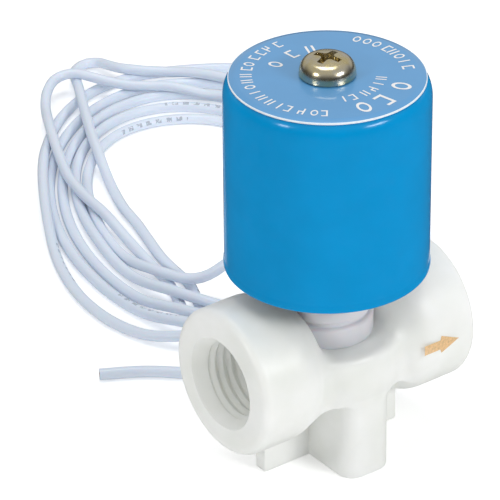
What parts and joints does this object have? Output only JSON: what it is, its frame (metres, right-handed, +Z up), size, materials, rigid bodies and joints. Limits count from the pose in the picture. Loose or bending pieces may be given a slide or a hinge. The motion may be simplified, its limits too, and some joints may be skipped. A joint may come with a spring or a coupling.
{
  "type": "solenoid valve",
  "caption": "Small two-way direct-acting solenoid valve: moulded white body with in-line female ports, blue coil can, centre screw and two coiled flying leads.",
  "frame": {"origin": "on the valve axis, at the bottom of the foot", "axes": "+Z up along the plunger axis, +X out of the outlet port, -Y the side with the flow arrow"},
  "size_m": [0.089, 0.1296, 0.0652],
  "materials": {
    "nylon_body": "moulded, translucent natural white",
    "acetal_neck": "turned, satin, pale grey",
    "stainless": "drawn and cleaned",
    "seal_rubber": "moulded, matt black",
    "core_steel": "turned ferritic stainless",
    "spring_steel": "drawn stainless wire and strip",
    "spool_plastic": "moulded glass-filled plastic",
    "copper_wire": "enamelled copper wire, wound",
    "tape": "polyester tape",
    "tinned_brass": "tinned",
    "sleeve": "shrunk sleeve",
    "lead_pvc": "extruded, pale bluish white, semi-gloss",
    "grommet_rubber": "moulded, satin black",
    "zinc_steel": "stamped, bright zinc plated",
    "fibre": "pressed fibre sheet",
    "blue_paint": "gloss enamel, bright sky blue",
    "label_foil": "printed film, glossy",
    "yellow_zinc": "zinc plated with pale yellow chromate"
  },
  "bodies": {
    "valve": {"valve_body": "nylon_body", "bonnet": "acetal_neck", "core_tube": "stainless", "core_o_ring": "seal_rubber", "fixed_core": "core_steel", "plunger_spring": "spring_steel", "coil_bobbin": "spool_plastic", "coil_winding": "copper_wire", "winding_tape": "tape", "terminal_pins": "tinned_brass", "solder_sleeves": "sleeve", "inner_leads": "lead_pvc", "lead_grommet": "grommet_rubber", "flux_plate": "zinc_steel", "wave_washer": "spring_steel", "insulating_washer": "fibre", "coil_housing": "blue_paint", "name_label": "label_foil", "housing_screw": "yellow_zinc", "lead_wire_a": "lead_pvc", "lead_wire_b": "lead_pvc", "lead_coil": "lead_pvc", "lead_tail_a": "lead_pvc", "lead_tail_b": "lead_pvc"},
    "armature": {"plunger": "core_steel", "plunger_seal": "seal_rubber"}
  },
  "joints": [
    {"name": "plunger_lift", "type": "slide", "parent": "valve", "child": "armature", "axis": [0, 0, 1], "range_m": [0, 0.0015], "stiffness_N_per_m": 250, "springref_m": -0.004, "deforming": ["plunger_spring"]}
  ]
}
